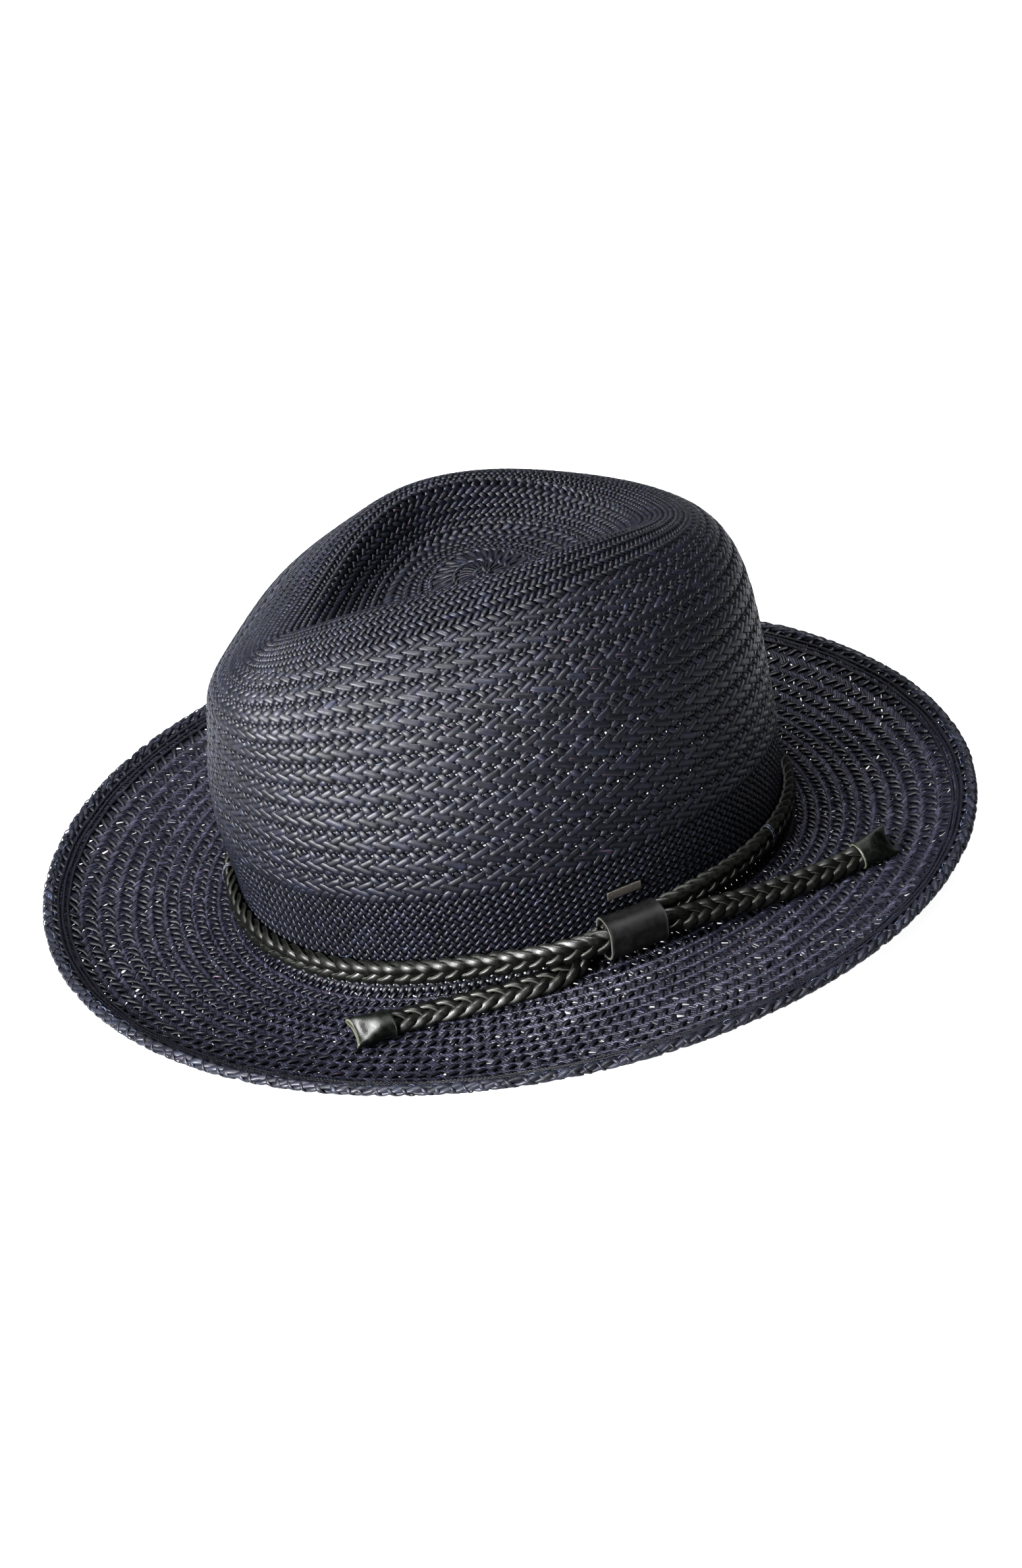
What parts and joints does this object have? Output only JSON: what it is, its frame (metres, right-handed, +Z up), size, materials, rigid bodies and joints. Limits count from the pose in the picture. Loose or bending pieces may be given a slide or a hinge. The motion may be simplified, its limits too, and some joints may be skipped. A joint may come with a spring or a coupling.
{
  "type": "fedora hat",
  "caption": "Woven straw fedora with a teardrop crown, a curled brim and a braided leather band drawn through a sliding keeper.",
  "frame": {"origin": "under the middle of the hat, on the surface that the brim stands on", "axes": "-Y is the front of the hat, +X the wearer's left, +Z up through the crown"},
  "size_m": [0.3114, 0.3486, 0.1392],
  "materials": {
    "woven_straw": "dyed toquilla straw, woven, softly glossy",
    "straw_edge": "dyed straw ends woven back into a roll",
    "sweat_leather": "smooth, satin",
    "reed_plastic": "extruded",
    "dark_thread": "twisted sewing thread",
    "bow_ribbon": "grosgrain ribbon",
    "label_tape": "plain woven tape",
    "braid_leather": "flat-braided strands, polished",
    "tip_leather": "pressed and polished",
    "keeper_leather": "matt grain, raw cut edges",
    "plate_metal": "dark gunmetal, blank"
  },
  "bodies": {
    "hat": {"straw_body": "woven_straw", "brim_edge_braid": "straw_edge", "sweatband": "sweat_leather", "sweatband_reed": "reed_plastic", "sweatband_stitching": "dark_thread", "sweatband_bow": "bow_ribbon", "size_label": "label_tape", "band_braid": "braid_leather", "front_tail": "braid_leather", "rear_tail": "braid_leather", "front_tip": "tip_leather", "rear_tip": "tip_leather", "side_plate": "plate_metal", "side_plate_clip": "plate_metal", "band_tack_left": "dark_thread", "band_tack_back": "dark_thread", "band_tack_right": "dark_thread", "band_tack_front": "dark_thread"},
    "keeper": {"keeper": "keeper_leather"}
  },
  "joints": [
    {"name": "keeper_slide", "type": "hinge", "parent": "hat", "child": "keeper", "pos_m": [-0.03475, -0.00009, 0.0215], "axis": [0, 0, 1], "range_deg": [-1.3, 3.1]}
  ]
}
